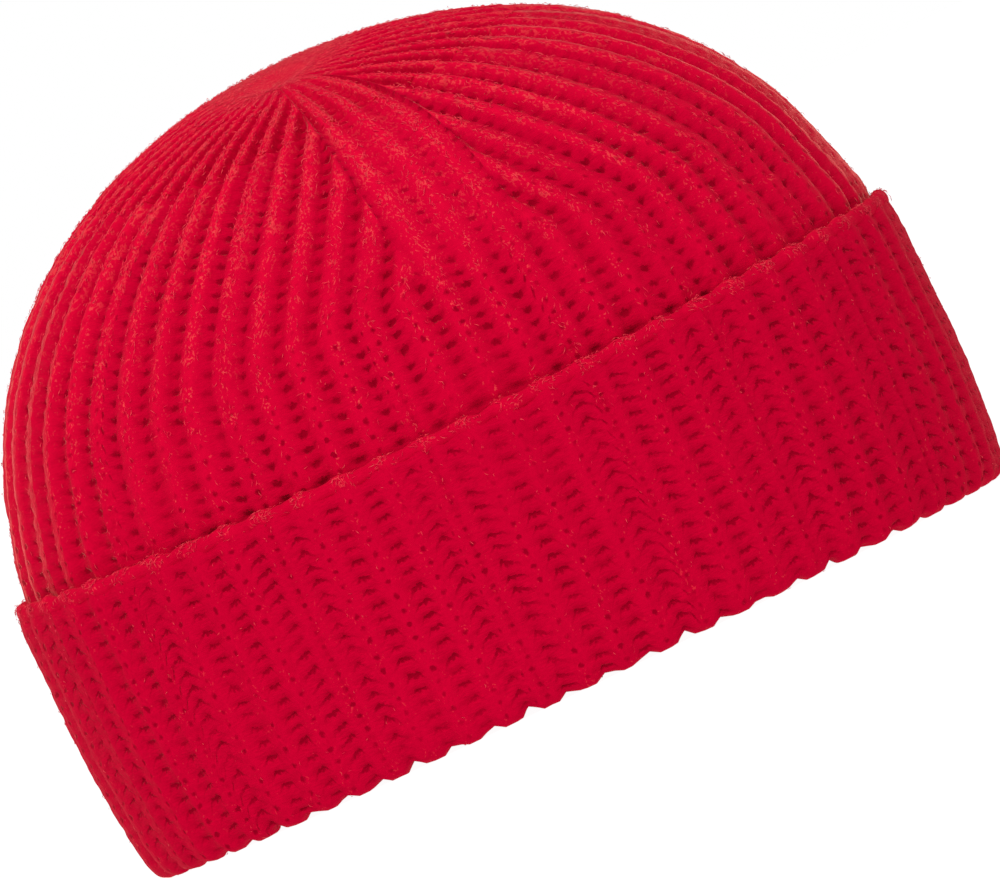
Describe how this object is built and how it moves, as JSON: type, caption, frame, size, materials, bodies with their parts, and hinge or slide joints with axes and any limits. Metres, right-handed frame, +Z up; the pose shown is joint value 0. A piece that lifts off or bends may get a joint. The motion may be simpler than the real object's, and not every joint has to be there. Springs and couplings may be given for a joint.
{
  "type": "fisherman beanie",
  "caption": "Short ribbed knit cap with an oval domed crown, darts at front and back, a deep turned-up cuff and a rolled cast-on edge.",
  "frame": {"origin": "on the resting plane, at the middle of the oval that the fold of the cuff stands on", "axes": "+Z up through the crown, +X along the long way of the head oval, -Y towards the side whose crown dart the picture shows"},
  "size_m": [0.215, 0.161, 0.1515],
  "materials": {
    "crown_knit": "matt fuzzy rib-knit yarn, right side of the stitches outwards",
    "cuff_knit": "matt fuzzy rib-knit yarn, turned up so that its stitches stand upside down",
    "edge_knit": "matt fuzzy cast-on loops, a little paler where the fibres stand out"
  },
  "bodies": {
    "root": {"crown": "crown_knit", "cuff": "cuff_knit", "cast_on_edge": "edge_knit"}
  },
  "joints": []
}
